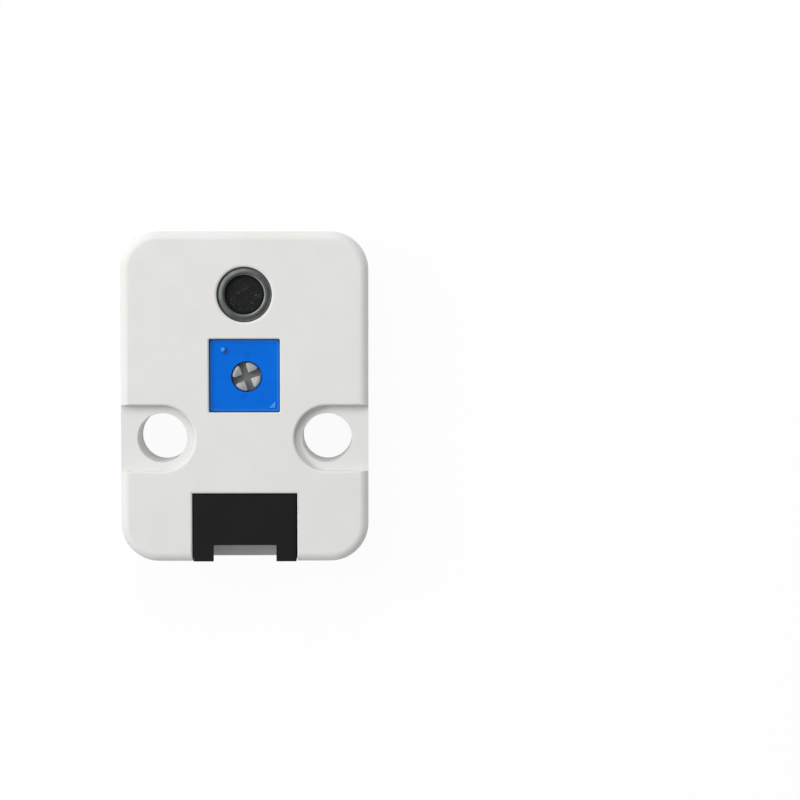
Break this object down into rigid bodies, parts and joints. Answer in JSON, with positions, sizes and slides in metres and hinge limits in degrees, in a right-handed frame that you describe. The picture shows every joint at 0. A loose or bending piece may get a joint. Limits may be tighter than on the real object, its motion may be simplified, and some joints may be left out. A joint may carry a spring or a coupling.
{
  "type": "microphone sensor module",
  "caption": "Flat white sensor module with a felt-covered microphone in a round opening, a blue trimmer in a window, through holes in side pockets and a side-entry socket.",
  "frame": {"origin": "centre of the flat back face, which is the underside when the module lies face up", "axes": "+Z out of the face with the microphone, +Y towards the microphone's end, -Y out of the socket, +X to the right seen from the front"},
  "size_m": [0.024, 0.032, 0.008],
  "materials": {
    "case": "fine satin moulding",
    "can": "drawn, lightly brushed",
    "felt": "dense felt",
    "trimmer_blue": "satin gloss",
    "rotor_metal": "nickel plated",
    "socket_black": "fine matte moulding",
    "laminate": "solder mask",
    "tinned": "tinned",
    "gold": "gold plated",
    "solder": "bright solder",
    "ceramic": "unglazed alumina",
    "capacitor": "fired ceramic",
    "resin_black": "moulded epoxy",
    "spacer_film": "clear amber",
    "holder_plastic": "natural nylon",
    "brass_part": "stamped",
    "seal_rubber": "silicone rubber"
  },
  "bodies": {
    "housing": {"front_shell": "case", "back_shell": "case", "circuit_board": "laminate", "solder_joints": "solder", "connector_housing": "socket_black", "connector_pins": "gold", "connector_solder_tabs": "tinned", "microphone_can": "can", "microphone_felt": "felt", "microphone_diaphragm": "brass_part", "microphone_spacer": "spacer_film", "microphone_backplate": "brass_part", "microphone_holder": "holder_plastic", "microphone_contact_ring": "brass_part", "microphone_board": "laminate", "microphone_transistor": "resin_black", "microphone_leads": "tinned", "trimmer_housing": "trimmer_blue", "trimmer_element": "ceramic", "trimmer_base": "trimmer_blue", "trimmer_pins": "tinned", "comparator_body": "resin_black", "comparator_leads": "tinned", "chip_resistors": "resin_black", "chip_resistor_terminals": "tinned", "chip_capacitors": "capacitor", "chip_capacitor_terminals": "tinned"},
    "rotor": {"trimmer_rotor": "rotor_metal", "trimmer_seal": "seal_rubber", "trimmer_wiper": "brass_part"}
  },
  "joints": [
    {"name": "trimmer_turn", "type": "hinge", "parent": "housing", "child": "rotor", "pos_m": [0.0002, 0.00195, 0.0065], "axis": [0, 0, 1], "range_deg": [-140, 100]}
  ]
}
